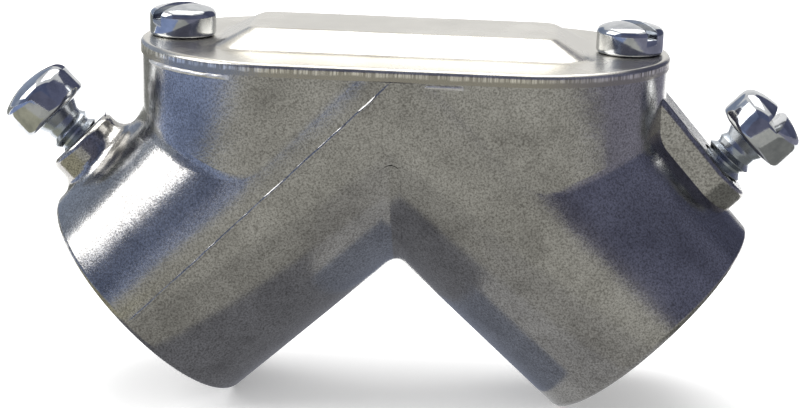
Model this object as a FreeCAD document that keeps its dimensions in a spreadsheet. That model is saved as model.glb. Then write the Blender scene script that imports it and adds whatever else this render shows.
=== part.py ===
"""Ninety-degree conduit body for half-inch thin-wall tube: a die-cast pull elbow with two set-screw
sockets and a stamped access cover.

Frame: the origin is where the two socket axes cross, on the casting's cover seat. +X runs along
the cover, -Y is the front and +Z points out through the cover. Each socket axis falls away from
the origin at 45 degrees, one towards +X and one towards -X. Lengths are in millimetres.
"""
import FreeCAD, Part
import math
import os

import Sketcher

SLOPE_DEG = 45.0
COVER_SLOT_LEFT_DEG = 46.0
COVER_SLOT_RIGHT_DEG = -49.0
SET_SLOT_LEFT_DEG = 0.0
SET_SLOT_RIGHT_DEG = 90.0
SLOPE = math.radians(SLOPE_DEG)
SAME = 0.001  # two sizes this close are taken as one
NEAR = 0.1  # an edge is at most this far from where it is looked for

# Driving dimensions, one row each: the alias, its value and what it measures.
DIMENSIONS = (
    # Sockets
    ("socket_reach", 31.5, "from the origin to a socket's mouth, along its axis"),
    ("mouth_radius", 11.42, "outside radius at the mouth"),
    ("root_radius", 13.03, "outside radius where the axes cross, grown by the mould's draft"),
    ("bore_radius", 9.1, "socket bore, a slip fit on 17.9 mm tube"),
    ("stop_station", 18.0, "tube stop, measured from the origin"),
    ("throat_radius", 7.9, "wireway inside the tube stop"),
    ("mouth_lead", 0.45, "chamfer that leads the tube in"),
    ("mouth_round", 0.55, "rounding of the mouth's outer edge"),
    # Cover seat and the wall below it
    ("seat_half_length", 22.65, "half length of the obround seat"),
    ("seat_radius", 12.7, "end radius and half width of the seat"),
    ("skirt_radius", 11.9, "the same where the drafted wall ends inside the sockets"),
    ("skirt_depth", 12.0, "how far the drafted wall goes down"),
    ("skirt_margin", 0.6, "depth of the wall at the middle, over the crossing"),
    ("root_fillet", 3.2, "blend from the end walls to the sockets"),
    # Wiring cavity
    ("cavity_half_length", 15.1, "half length of the opening under the cover"),
    ("cavity_half_width", 10.3, "half width of the opening"),
    ("cavity_corner", 4.5, "corner radius of the opening"),
    ("cavity_depth", 6.0, "depth of the opening's straight walls"),
    # Cover screws
    ("cover_screw_offset", 19.3, "from the origin to a cover screw's axis"),
    ("cover_hole_radius", 1.8, "tapped hole for the cover screw, taken at the crest"),
    ("cover_hole_depth", 5.6, "depth of that hole"),
    ("cover_shank_radius", 1.75, "cover screw shank at the thread's crest"),
    ("cover_screw_length", 6.3, "under the head"),
    ("cover_head_radius", 2.87, "head of the cover screw"),
    ("cover_head_side", 2.15, "straight side of that head"),
    ("cover_head_crown", 0.62, "height of the crown over the side"),
    ("cover_slot_width", 1.1, "screwdriver slot"),
    ("cover_slot_depth", 1.3, "depth of the slot from the crown's top"),
    # Set screws
    ("left_screw_station", 26.1, "set screw's axis along the left socket"),
    ("right_screw_station", 25.4, "set screw's axis along the right socket"),
    ("set_hole_radius", 2.12, "tapped hole for the set screw, taken at the crest"),
    ("set_shank_radius", 2.07, "set screw shank at the thread's crest"),
    ("set_tip_height", 9.25, "tip of the set screw over the socket's axis, just out of the bore"),
    ("left_head_height", 16.95, "underside of the left head over the socket's axis"),
    ("right_head_height", 16.8, "the same on the right, where the screw is turned further in"),
    ("set_head_radius", 3.4, "head of the set screw"),
    ("set_head_side", 3.0, "straight side of that head"),
    ("set_head_crown", 0.9, "height of the crown over the side"),
    ("set_slot_width", 1.15, "screwdriver slot"),
    ("set_slot_depth", 1.45, "depth of the slot from the crown's top"),
    ("tip_chamfer", 0.4, "lead chamfer on every screw's tip"),
    ("cover_crown_round", 0.65, "rounding between a cover screw's side and crown"),
    ("set_crown_round", 0.8, "rounding between a set screw's side and crown"),
    # Bosses
    ("boss_radius", 3.3, "round boss of the left set screw"),
    ("boss_height", 14.1, "top of the left boss over the socket's axis"),
    ("boss_round", 0.6, "rounding of the boss's top"),
    ("boss_flare", 1.3, "fillet at the boss's foot"),
    ("rib_radius", 3.45, "round end and half width of the right rib"),
    ("rib_start", 15.0, "where the rib starts, inside the wall"),
    ("rib_wall_station", 17.86, "where the rib's top leaves the wall"),
    ("rib_wall_height", 14.2, "top of the rib over the axis, at the wall"),
    ("rib_end_height", 13.5, "top of the rib over the axis, at its outer end"),
    ("rib_round", 0.5, "rounding of the rib's top"),
    # Access cover
    ("cover_half_length", 22.8, "half length of the cover"),
    ("cover_radius", 12.85, "end radius and half width of the cover"),
    ("cover_gauge", 1.08, "sheet thickness"),
    ("cover_edge_round", 0.4, "rolled upper edge"),
    ("pillow_foot_length", 16.1, "half length of the raised panel at its foot"),
    ("pillow_foot_width", 6.9, "half width of the raised panel at its foot"),
    ("pillow_foot_corner", 2.6, "corner radius at the foot"),
    ("pillow_top_length", 12.9, "half length of the raised panel's flat"),
    ("pillow_top_width", 4.6, "half width of the flat"),
    ("pillow_top_corner", 1.3, "corner radius of the flat"),
    ("pillow_inset", 0.3, "how far the hollow under the panel stays inside its outlines"),
    ("pillow_rise", 1.63, "rise of the flat over the cover's rim"),
    ("pillow_round", 1.1, "rounding round the flat"),
    ("pillow_flare", 1.2, "fillet round the foot"),
    ("cover_clear_radius", 1.95, "clearance hole for a cover screw"),
)


def make_sheet(doc):
    """Put the driving dimensions in the document's spreadsheet, with an object that adds them up."""
    sheet = doc.addObject("Spreadsheet::Sheet", "Sizes")
    for row, (alias, value, meaning) in enumerate(DIMENSIONS, start=1):
        sheet.set(f"A{row}", meaning)
        sheet.set(f"B{row}", str(value))
        sheet.setAlias(f"B{row}", alias)
    working = doc.addObject("App::FeaturePython", "Sum")
    working.addProperty("App::PropertyFloat", "Total", "Working", "what an expression comes to")
    doc.recompute()


class Outline:
    """A sketch in a body, with every dimension bound to the sheet.

    Expressions use the sheet's aliases as bare words, so "-seat_radius" is a whole expression.
    """

    def __init__(self, body, name, plane, turn_axis=None, turn_deg=0.0, lift=None):
        self.sketch = body.newObject("Sketcher::SketchObject", name)
        self.sum = body.Document.getObject("Sum")
        self.count = 0
        support = next(f for f in body.Origin.OriginFeatures if f.Role == plane)
        self.sketch.AttachmentSupport = [(support, "")]
        self.sketch.MapMode = "FlatFace"
        turn = FreeCAD.Rotation()
        if turn_axis is not None:
            turn = FreeCAD.Rotation(turn_axis, turn_deg)
        self.sketch.AttachmentOffset = FreeCAD.Placement(FreeCAD.Vector(), turn)
        if lift is not None:
            self.sketch.setExpression("AttachmentOffset.Base.z", self.bound(lift))
        body.Document.recompute()

    def bound(self, expression):
        """Turn bare aliases into references to the sheet."""
        words = sorted((row[0] for row in DIMENSIONS), key=len, reverse=True)
        text = expression
        for index, word in enumerate(words):
            text = text.replace(word, f"@{index}@")
        for index, word in enumerate(words):
            text = text.replace(f"@{index}@", f"Sizes.{word}")
        return text

    def value(self, expression):
        """The number that an expression has now."""
        self.sum.setExpression("Total", self.bound(expression))
        self.sum.recompute()
        return float(self.sum.Total)

    def constrain(self, *args):
        """Add a constraint; a trailing string is an expression that drives it."""
        if not isinstance(args[-1], str):
            return self.sketch.addConstraint(Sketcher.Constraint(*args))
        number = self.value(args[-1])
        index = self.sketch.addConstraint(Sketcher.Constraint(*args[:-1], number))
        self.count += 1
        name = f"size_{self.count}"
        self.sketch.renameConstraint(index, name)
        self.sketch.setExpression(f"Constraints.{name}", self.bound(args[-1]))
        return index

    def place(self, geometry, point, x, y):
        """Fix a point of the geometry at an expression's x and y."""
        for kind, axis, expression in (("DistanceX", -2, x), ("DistanceY", -1, y)):
            if expression == "0":
                self.constrain("PointOnObject", geometry, point, axis)
            else:
                self.constrain(kind, -1, 1, geometry, point, expression)

    def polygon(self, corners):
        """A closed outline of straight sides through corners given as expressions."""
        points = [FreeCAD.Vector(self.value(x), self.value(y), 0) for x, y in corners]
        sides = []
        for start, end in zip(points, points[1:] + points[:1]):
            sides.append(self.sketch.addGeometry(Part.LineSegment(start, end), False))
        for index, side in enumerate(sides):
            self.constrain("Coincident", side, 2, sides[(index + 1) % len(sides)], 1)
            self.place(side, 1, *corners[index])
        return sides

    def lathe(self, corners, apex):
        """Straight sides through corners, then an arc about the X axis to an apex on it."""
        points = [FreeCAD.Vector(self.value(x), self.value(y), 0) for x, y in corners]
        top = FreeCAD.Vector(self.value(apex), 0, 0)
        rim = points[-1]
        rise = top.x - rim.x
        radius = (rim.y ** 2 + rise ** 2) / (2 * rise)
        centre = FreeCAD.Vector(top.x - radius, 0, 0)
        circle = Part.Circle(centre, FreeCAD.Vector(0, 0, 1), radius)
        sides = [self.sketch.addGeometry(Part.LineSegment(top, points[0]), False)]
        for start, end in zip(points, points[1:]):
            sides.append(self.sketch.addGeometry(Part.LineSegment(start, end), False))
        sweep = math.atan2(rim.y, rim.x - centre.x)
        arc = self.sketch.addGeometry(Part.ArcOfCircle(circle, 0, sweep), False)
        for side, follower in zip(sides, sides[1:]):
            self.constrain("Coincident", side, 2, follower, 1)
        self.constrain("Coincident", sides[-1], 2, arc, 2)
        self.constrain("Coincident", arc, 1, sides[0], 1)
        self.constrain("PointOnObject", arc, 3, -1)
        self.place(sides[0], 1, apex, "0")
        for side, corner in zip(sides, corners):
            self.place(side, 2, *corner)

    def circle(self, x, y, radius):
        """A full circle about a point."""
        centre = FreeCAD.Vector(self.value(x), self.value(y), 0)
        shape = Part.Circle(centre, FreeCAD.Vector(0, 0, 1), self.value(radius))
        index = self.sketch.addGeometry(shape, False)
        self.constrain("Radius", index, radius)
        self.place(index, 3, x, y)
        return index

    def join(self, arcs):
        """Close a ring of arcs with tangent straight sides and return the sides."""
        ends = self.sketch.Geometry
        sides = []
        for arc, other in zip(arcs, arcs[1:] + arcs[:1]):
            line = Part.LineSegment(ends[arc].EndPoint, ends[other].StartPoint)
            side = self.sketch.addGeometry(line, False)
            self.constrain("Tangent", arc, 2, side, 1)
            self.constrain("Tangent", side, 2, other, 1)
            sides.append(side)
        return sides

    def rounded(self, left, right, half_width, corner):
        """A box about the X axis, from left to right, with four equal round corners."""
        centres = (
            (f"{right} - {corner}", f"{half_width} - {corner}", 0.0),
            (f"{left} + {corner}", f"{half_width} - {corner}", 90.0),
            (f"{left} + {corner}", f"-({half_width} - {corner})", 180.0),
            (f"{right} - {corner}", f"-({half_width} - {corner})", 270.0),
        )
        radius = self.value(corner)
        arcs = []
        for x, y, start_deg in centres:
            centre = FreeCAD.Vector(self.value(x), self.value(y), 0)
            circle = Part.Circle(centre, FreeCAD.Vector(0, 0, 1), radius)
            start = math.radians(start_deg)
            arc = Part.ArcOfCircle(circle, start, start + math.pi / 2)
            arcs.append(self.sketch.addGeometry(arc, False))
        sides = self.join(arcs)
        self.constrain("Radius", arcs[0], corner)
        for arc in arcs[1:]:
            self.constrain("Equal", arcs[0], arc)
        for index, side in enumerate(sides):
            self.constrain("Vertical" if index % 2 else "Horizontal", side)
        self.place(arcs[0], 3, *centres[0][:2])
        self.place(arcs[2], 3, *centres[2][:2])

    def obround(self, left, right, radius):
        """Two half circles about points on the X axis, joined by straight sides."""
        arcs = []
        for centre_x, start_deg in ((right, -90.0), (left, 90.0)):
            centre = FreeCAD.Vector(self.value(centre_x), 0, 0)
            circle = Part.Circle(centre, FreeCAD.Vector(0, 0, 1), self.value(radius))
            start = math.radians(start_deg)
            arc = Part.ArcOfCircle(circle, start, start + math.pi)
            arcs.append(self.sketch.addGeometry(arc, False))
        self.join(arcs)
        self.constrain("Radius", arcs[0], radius)
        self.constrain("Equal", arcs[0], arcs[1])
        self.place(arcs[0], 3, right, "0")
        self.place(arcs[1], 3, left, "0")


def pad(body, name, outline, length, reverse=False):
    """Raise an outline by a length given as an expression."""
    added = body.newObject("PartDesign::Pad", name)
    added.Profile = outline.sketch
    added.Reversed = reverse
    added.setExpression("Length", outline.bound(length))
    body.Document.recompute()
    return added


def pocket(body, name, outline, length=None, reverse=False, midplane=False):
    """Cut an outline into the body: by a length, or right through when there is none."""
    before = body.Tip.Shape.Volume
    added = body.newObject("PartDesign::Pocket", name)
    added.Profile = outline.sketch
    added.Reversed = reverse
    added.Midplane = midplane
    if length is None:
        added.Type = "ThroughAll"
    else:
        added.setExpression("Length", outline.bound(length))
    body.Document.recompute()
    if not added.Shape.Volume < before:
        raise RuntimeError(f"{name} cuts nothing")
    return added


def turned(body, kind, name, outline):
    """A full turn of an outline about its own X axis: Revolution adds, Groove cuts."""
    added = body.newObject(f"PartDesign::{kind}", name)
    added.Profile = outline.sketch
    added.ReferenceAxis = (outline.sketch, ["H_Axis"])
    added.Angle = 360.0
    body.Document.recompute()
    return added


def loft(body, kind, name, outline, upper):
    """Loft between two outlines: AdditiveLoft adds, SubtractiveLoft cuts."""
    added = body.newObject(f"PartDesign::{kind}", name)
    added.Profile = outline.sketch
    added.Sections = [upper.sketch]
    added.Ruled = True
    body.Document.recompute()
    return added


def finish_edges(body, name, alias, test, kind="Fillet"):
    """Fillet or chamfer the edges of the body's tip that pass a test."""
    base = body.Tip
    names = [f"Edge{index}" for index, edge in enumerate(base.Shape.Edges, start=1)
             if not edge.Degenerated and test(edge)]
    if not names:
        raise RuntimeError(f"{name}: no edge passes the test")
    added = body.newObject(f"PartDesign::{kind}", name)
    added.Base = (base, names)
    added.setExpression("Size" if kind == "Chamfer" else "Radius", f"Sizes.{alias}")
    body.Document.recompute()
    return added


def straight(edge):
    """Whether an edge is a straight line."""
    return isinstance(edge.Curve, (Part.Line, Part.LineSegment))


class Side:
    """One of the two sockets: its directions, seen from the origin."""

    def __init__(self, name, sign):
        self.name = name
        self.sign = sign
        self.along = FreeCAD.Vector(sign * math.cos(SLOPE), 0, -math.sin(SLOPE))
        self.outward = FreeCAD.Vector(sign * math.sin(SLOPE), 0, math.cos(SLOPE))

    def section(self, body, name):
        """A sketch in the XZ plane whose X runs along the socket's axis."""
        return Outline(body, name, "XZ_Plane", FreeCAD.Vector(0, 0, 1), -self.sign * SLOPE_DEG)

    def deck(self, body, name):
        """A sketch through the socket's axis, square to the set screw."""
        return Outline(body, name, "XY_Plane", FreeCAD.Vector(0, 1, 0), self.sign * SLOPE_DEG)

    def station(self, alias):
        """A distance along the socket as an X in either sketch."""
        return alias if self.sign > 0 or alias == "0" else f"-{alias}"

    @property
    def screw_station(self):
        """The alias of this side's set screw station."""
        return f"{self.name}_screw_station"

    @property
    def head_height(self):
        """The alias of the height of this side's set screw head."""
        return f"{self.name}_head_height"


LEFT = Side("left", -1)
RIGHT = Side("right", 1)


def add_right_half(body):
    """The right half: the drafted wall under the seat, cut back to the axes, and its socket."""
    seat = Outline(body, "SeatOutline", "XY_Plane")
    seat.obround("-(seat_half_length - seat_radius)", "seat_half_length - seat_radius",
                 "seat_radius")
    skirt = Outline(body, "SkirtOutline", "XY_Plane", lift="-skirt_depth")
    skirt.obround("-(seat_half_length - skirt_radius)", "seat_half_length - skirt_radius",
                  "skirt_radius")
    loft(body, "AdditiveLoft", "Wall", seat, skirt)
    vee = Outline(body, "VeeOutline", "XZ_Plane")
    vee.polygon((("0", "-skirt_margin"),
                 ("2 * skirt_depth", "-skirt_margin - 2 * skirt_depth"),
                 ("-2 * skirt_depth", "-skirt_margin - 2 * skirt_depth")))
    pocket(body, "WallTrim", vee, midplane=True)
    socket = RIGHT.section(body, "SocketOutline")
    socket.polygon((("0", "0"), ("socket_reach", "0"), ("socket_reach", "mouth_radius"),
                    ("0", "root_radius")))
    turned(body, "Revolution", "Socket", socket)
    sizes = body.Document.getObject("Sizes")
    mouth = float(sizes.mouth_radius)
    seam = float(sizes.seat_half_length) - float(sizes.seat_radius)

    def at_mouth(edge):
        return isinstance(edge.Curve, Part.Circle) and abs(edge.Curve.Radius - mouth) < SAME

    finish_edges(body, "MouthRound", "mouth_round", at_mouth)
    corner = Outline(body, "HalfOutline", "XZ_Plane")
    corner.polygon((("0", "0"), ("socket_reach", "0"), ("socket_reach", "socket_reach"),
                    ("-socket_reach", "socket_reach"), ("-socket_reach", "-socket_reach"),
                    ("0", "-socket_reach")))
    pocket(body, "HalfTrim", corner, midplane=True)

    def at_root(edge):
        box = edge.BoundBox
        curved = not straight(edge) and not isinstance(edge.Curve, Part.Circle)
        slanted = min(box.XLength, box.ZLength) > float(sizes.mouth_round)
        return curved and slanted and box.XMax > seam

    finish_edges(body, "RootFillet", "root_fillet", at_root)


def add_left_boss(body):
    """The round boss that carries the left set screw, with a flared foot."""
    sizes = body.Document.getObject("Sizes")
    boss = LEFT.deck(body, "BossOutline")
    boss.circle(LEFT.station(LEFT.screw_station), "0", "boss_radius")
    pad(body, "LeftBoss", boss, "boss_height")
    axis_point = LEFT.along * float(sizes.left_screw_station)
    reach = float(sizes.boss_radius) + NEAR
    top = float(sizes.boss_height) - float(sizes.boss_round)

    def near_boss(edge):
        points = edge.discretize(5)
        offsets = ((point - axis_point).cross(LEFT.outward).Length for point in points)
        return max(offsets) < reach and not straight(edge)

    def at_foot(edge):
        return near_boss(edge) and edge.CenterOfMass.dot(LEFT.outward) < top

    def at_top(edge):
        return near_boss(edge) and edge.CenterOfMass.dot(LEFT.outward) > top

    finish_edges(body, "BossFlare", "boss_flare", at_foot)
    finish_edges(body, "BossRound", "boss_round", at_top)


def add_right_rib(body):
    """The rib that carries the right set screw and runs back to the end wall."""
    rib = RIGHT.deck(body, "RibOutline")
    rib.obround("rib_start", RIGHT.screw_station, "rib_radius")
    pad(body, "RightRib", rib, "rib_wall_height")
    slope = RIGHT.section(body, "RibSlope")
    end = f"{RIGHT.screw_station} + rib_radius"
    slope.polygon((("rib_wall_station", "rib_wall_height"), (end, "rib_end_height"),
                   (end, "rib_wall_height")))
    pocket(body, "RibTop", slope, midplane=True)


def finish_rib(body):
    """Round the rib's top edges."""
    sizes = body.Document.getObject("Sizes")
    flank = float(sizes.rib_radius) - NEAR
    lowest = float(sizes.rib_end_height) - NEAR
    beyond_wall = float(sizes.rib_wall_station) + 2 * float(sizes.rib_round)

    def at_top(edge):
        points = edge.discretize(7)
        high = all(point.dot(RIGHT.outward) > lowest for point in points)
        outer = edge.CenterOfMass.dot(RIGHT.along) > beyond_wall
        return high and outer and max(abs(point.y) for point in points) > flank

    finish_edges(body, "RibRound", "rib_round", at_top)


def cut_inside(body):
    """The seat's face, the bores with their stops, the wiring cavity and the tapped holes."""
    face = Outline(body, "SeatFaceOutline", "XY_Plane")
    face.rounded("-socket_reach", "socket_reach", "socket_reach", "cavity_corner")
    pocket(body, "SeatFace", face, "socket_reach", reverse=True)
    for side in (LEFT, RIGHT):
        bore = side.section(body, f"{side.name.title()}BoreOutline")
        beyond = "socket_reach + mouth_lead"
        bore.polygon(((side.station("0"), "0"),
                      (side.station(f"({beyond})"), "0"),
                      (side.station(f"({beyond})"), "bore_radius + 2 * mouth_lead"),
                      (side.station("(socket_reach - mouth_lead)"), "bore_radius"),
                      (side.station("stop_station"), "bore_radius"),
                      (side.station("stop_station"), "throat_radius"),
                      (side.station("0"), "throat_radius")))
        turned(body, "Groove", f"{side.name.title()}Bore", bore)
    opening = Outline(body, "OpeningOutline", "XY_Plane")
    opening.rounded("-cavity_half_length", "cavity_half_length", "cavity_half_width",
                    "cavity_corner")
    pocket(body, "Cavity", opening, "cavity_depth")
    holes = Outline(body, "CoverHoleOutline", "XY_Plane")
    for x in ("-cover_screw_offset", "cover_screw_offset"):
        holes.circle(x, "0", "cover_hole_radius")
    pocket(body, "CoverHoles", holes, "cover_hole_depth")
    for side in (LEFT, RIGHT):
        hole = side.deck(body, f"{side.name.title()}HoleOutline")
        hole.circle(side.station(side.screw_station), "0", "set_hole_radius")
        pocket(body, f"{side.name.title()}Hole", hole, side.head_height, reverse=True)


def make_elbow(doc):
    """The die-cast housing: two drafted sockets that meet under an obround cover seat."""
    half = doc.addObject("PartDesign::Body", "RightHalf")
    add_right_half(half)
    other = doc.addObject("Part::Mirroring", "LeftHalf")
    other.Source = half
    other.Normal = FreeCAD.Vector(1, 0, 0)
    both = doc.addObject("Part::MultiFuse", "BothHalves")
    both.Shapes = [half, other]
    both.Refine = True
    body = doc.addObject("PartDesign::Body", "elbow_body")
    body.BaseFeature = both
    doc.recompute()
    add_left_boss(body)
    add_right_rib(body)
    cut_inside(body)
    finish_rib(body)
    return body


def make_cover(doc):
    """The stamped cover: a flat obround rim with a raised panel, hollow underneath."""
    body = doc.addObject("PartDesign::Body", "access_cover")
    sizes = doc.getObject("Sizes")
    rim = Outline(body, "RimOutline", "XY_Plane")
    rim.obround("-(cover_half_length - cover_radius)", "cover_half_length - cover_radius",
                "cover_radius")
    pad(body, "Rim", rim, "cover_gauge")
    foot = Outline(body, "PanelFoot", "XY_Plane", lift="cover_gauge")
    foot.rounded("-pillow_foot_length", "pillow_foot_length", "pillow_foot_width",
                 "pillow_foot_corner")
    flat = Outline(body, "PanelFlat", "XY_Plane", lift="cover_gauge + pillow_rise")
    flat.rounded("-pillow_top_length", "pillow_top_length", "pillow_top_width",
                 "pillow_top_corner")
    loft(body, "AdditiveLoft", "Panel", foot, flat)
    gauge = float(sizes.cover_gauge)
    top = gauge + float(sizes.pillow_rise)
    foot_width = float(sizes.pillow_foot_width) + NEAR
    rim_width = float(sizes.cover_radius) - NEAR

    def level(edge, z):
        return abs(edge.BoundBox.ZMin - z) < SAME and abs(edge.BoundBox.ZMax - z) < SAME

    def spread(edge):
        return max(edge.BoundBox.YMax, -edge.BoundBox.YMin)

    finish_edges(body, "PanelRound", "pillow_round", lambda edge: level(edge, top))
    finish_edges(body, "PanelFlare", "pillow_flare",
                 lambda edge: level(edge, gauge) and spread(edge) < foot_width)
    finish_edges(body, "RimRound", "cover_edge_round",
                 lambda edge: level(edge, gauge) and spread(edge) > rim_width)
    under = Outline(body, "HollowFoot", "XY_Plane")
    under.rounded("-(pillow_foot_length - pillow_inset)", "pillow_foot_length - pillow_inset",
                  "(pillow_foot_width - pillow_inset)", "pillow_foot_corner")
    ceiling = Outline(body, "HollowFlat", "XY_Plane", lift="pillow_rise")
    ceiling.rounded("-(pillow_top_length - pillow_inset)", "pillow_top_length - pillow_inset",
                    "(pillow_top_width - pillow_inset)", "pillow_top_corner")
    loft(body, "SubtractiveLoft", "Hollow", under, ceiling)
    holes = Outline(body, "ClearHoleOutline", "XY_Plane")
    for x in ("-cover_screw_offset", "cover_screw_offset"):
        holes.circle(x, "0", "cover_clear_radius")
    pocket(body, "ClearHoles", holes, reverse=True)
    return body


def make_screw(doc, label, size, length, placement, slot_turn_deg):
    """A slotted fillister-head screw along +Z with its head's underside at its own origin.

    size is the first word of the aliases it reads, and length an expression under the head.
    """
    body = doc.addObject("PartDesign::Body", label)
    shaft = f"{size}_shank_radius"
    side = f"{size}_head_side"
    top = f"{side} + {size}_head_crown"
    profile = Outline(body, f"{label}_profile", "XZ_Plane", FreeCAD.Vector(0, 0, 1), 90.0)
    profile.lathe(((f"-({length})", "0"),
                   (f"-({length})", f"{shaft} - tip_chamfer"),
                   (f"-({length} - tip_chamfer)", shaft),
                   ("0", shaft),
                   ("0", f"{size}_head_radius"),
                   (side, f"{size}_head_radius")), top)
    turned(body, "Revolution", f"{label}_turning", profile)
    sizes = doc.getObject("Sizes")
    shoulder = float(getattr(sizes, side))
    rim = float(getattr(sizes, f"{size}_head_radius"))

    def at_shoulder(edge):
        circle = isinstance(edge.Curve, Part.Circle) and abs(edge.Curve.Radius - rim) < SAME
        return circle and abs(edge.Curve.Center.z - shoulder) < SAME

    finish_edges(body, f"{label}_crown", f"{size}_crown_round", at_shoulder)
    slot = Outline(body, f"{label}_slot", "XY_Plane", lift=top)
    half = f"{size}_slot_width / 2"
    reach = f"2 * {size}_head_radius"
    slot.polygon(((f"-{reach}", f"-{half}"), (reach, f"-{half}"), (reach, half),
                  (f"-{reach}", half)))
    pocket(body, f"{label}_slot_cut", slot, f"{size}_slot_depth")
    turn = FreeCAD.Rotation(FreeCAD.Vector(0, 0, 1), slot_turn_deg)
    body.Placement = FreeCAD.Placement(placement.Base, placement.Rotation.multiply(turn))
    return body


def make_screws(doc):
    """Two cover screws and two set screws, each placed where it sits when it is tight."""
    sizes = doc.getObject("Sizes")
    screws = []
    for name, sign, slot_turn_deg in (("left", -1, COVER_SLOT_LEFT_DEG),
                                      ("right", 1, COVER_SLOT_RIGHT_DEG)):
        seat = FreeCAD.Vector(sign * float(sizes.cover_screw_offset), 0, float(sizes.cover_gauge))
        placement = FreeCAD.Placement(seat, FreeCAD.Rotation())
        screws.append(make_screw(doc, f"cover_screw_{name}", "cover", "cover_screw_length",
                                 placement, slot_turn_deg))
    for side, slot_turn_deg in ((LEFT, SET_SLOT_LEFT_DEG), (RIGHT, SET_SLOT_RIGHT_DEG)):
        station = float(getattr(sizes, side.screw_station))
        height = float(getattr(sizes, side.head_height))
        seat = side.along * station + side.outward * height
        tilt = FreeCAD.Rotation(FreeCAD.Vector(0, 1, 0), side.sign * SLOPE_DEG)
        placement = FreeCAD.Placement(seat, tilt)
        screws.append(make_screw(doc, f"set_screw_{side.name}", "set",
                                 f"({side.head_height} - set_tip_height)", placement,
                                 slot_turn_deg))
    return screws


def check(doc, parts):
    """Stop on any failed feature, or on a sub-part that is not one valid solid."""
    for item in doc.Objects:
        if "Invalid" in item.State or "Error" in item.State:
            raise RuntimeError(f"{item.Name} failed: {item.State}")
    for part in parts:
        shape = part.Shape
        if shape.isNull() or not shape.isValid() or len(shape.Solids) != 1:
            raise RuntimeError(f"{part.Label} is not one valid solid")
        box = shape.optimalBoundingBox()
        print(f"{part.Label}: {shape.Volume:.1f} mm3, x {box.XMin:.2f} to {box.XMax:.2f}, "
              f"y {box.YMin:.2f} to {box.YMax:.2f}, z {box.ZMin:.2f} to {box.ZMax:.2f}")


def main():
    """Build the document and write one STEP file for each sub-part."""
    doc = FreeCAD.newDocument("ConduitBody")
    make_sheet(doc)
    parts = [make_elbow(doc), make_cover(doc)] + make_screws(doc)
    doc.recompute()
    check(doc, parts)
    os.makedirs("parts", exist_ok=True)
    for part in parts:
        part.Shape.exportStep(f"parts/{part.Label}.step")


main()
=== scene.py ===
"""Looks of a ninety-degree conduit body: a die-cast pull elbow with a stamped cover and four screws.

The frame's origin is where the two socket axes cross, on the cover seat. +X runs along the cover,
-Y is the front and +Z points out through the cover. Lengths are in metres.
"""

import logging
import math
from collections.abc import Callable
from dataclasses import dataclass
from enum import Enum

import bmesh
import bpy
from mathutils import Matrix, Vector, noise

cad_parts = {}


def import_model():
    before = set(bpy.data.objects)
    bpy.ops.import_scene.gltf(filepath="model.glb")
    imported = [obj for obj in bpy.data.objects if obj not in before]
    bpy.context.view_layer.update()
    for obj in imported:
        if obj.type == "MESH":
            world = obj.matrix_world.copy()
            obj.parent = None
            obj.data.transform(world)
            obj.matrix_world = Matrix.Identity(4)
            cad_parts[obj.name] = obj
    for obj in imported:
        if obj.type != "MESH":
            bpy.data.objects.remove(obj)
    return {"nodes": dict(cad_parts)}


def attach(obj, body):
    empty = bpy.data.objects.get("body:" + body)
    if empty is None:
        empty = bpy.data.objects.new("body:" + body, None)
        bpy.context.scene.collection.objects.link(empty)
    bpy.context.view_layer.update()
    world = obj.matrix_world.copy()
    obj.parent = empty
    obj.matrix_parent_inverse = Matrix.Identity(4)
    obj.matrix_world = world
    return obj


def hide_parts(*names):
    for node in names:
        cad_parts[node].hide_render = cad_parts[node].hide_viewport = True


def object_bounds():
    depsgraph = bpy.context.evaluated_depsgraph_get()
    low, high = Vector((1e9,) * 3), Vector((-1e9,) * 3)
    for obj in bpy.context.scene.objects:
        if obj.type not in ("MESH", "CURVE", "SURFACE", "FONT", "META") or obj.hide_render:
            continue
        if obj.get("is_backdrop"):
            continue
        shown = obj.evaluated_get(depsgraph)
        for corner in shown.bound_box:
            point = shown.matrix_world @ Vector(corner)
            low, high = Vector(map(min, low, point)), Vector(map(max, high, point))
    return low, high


LOG = logging.getLogger("conduit_body")
MM = 0.001
MERGE_DISTANCE = 1e-6
NOISE_LOW = 0.3
NOISE_HIGH = 0.7


class Hand(Enum):
    """The two sockets, named for the side that they fall towards."""

    LEFT = -1
    RIGHT = 1

    @property
    def along(self) -> Vector:
        """Direction of the socket's axis, away from the origin."""
        return Vector((self.value, 0.0, -1.0)).normalized()

    @property
    def outward(self) -> Vector:
        """Direction of the set screw's axis, out of the casting."""
        return Vector((self.value, 0.0, 1.0)).normalized()


def linear(code: str) -> tuple[float, float, float, float]:
    """Turn an sRGB hex colour into linear RGBA.

    Args:
        code: Six hex digits after a hash sign.

    Returns:
        The colour as four linear numbers.
    """
    channels = [int(code[i:i + 2], 16) / 255 for i in (1, 3, 5)]
    values = [c / 12.92 if c <= 0.04045 else ((c + 0.055) / 1.055) ** 2.4 for c in channels]
    return (values[0], values[1], values[2], 1.0)


def per_mm(size_mm: float) -> float:
    """Texture scale on Object coordinates for features of a size in millimetres."""
    return 1.0 / (size_mm * MM)


@dataclass(frozen=True)
class Relief:
    """One layer of fine relief in a metal's skin."""

    size_mm: float
    depth_mm: float
    strength: float
    fineness: float = 0.5


@dataclass(frozen=True)
class Drift:
    """Colour and roughness that change together over a metal, in soft clouds.

    The tones are pairs of the noise's value and an sRGB hex colour, lowest first.
    """

    tones: tuple[tuple[float, str], ...]
    size_mm: float
    detail: float
    fineness: float
    smoothest: float
    roughest: float


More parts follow.
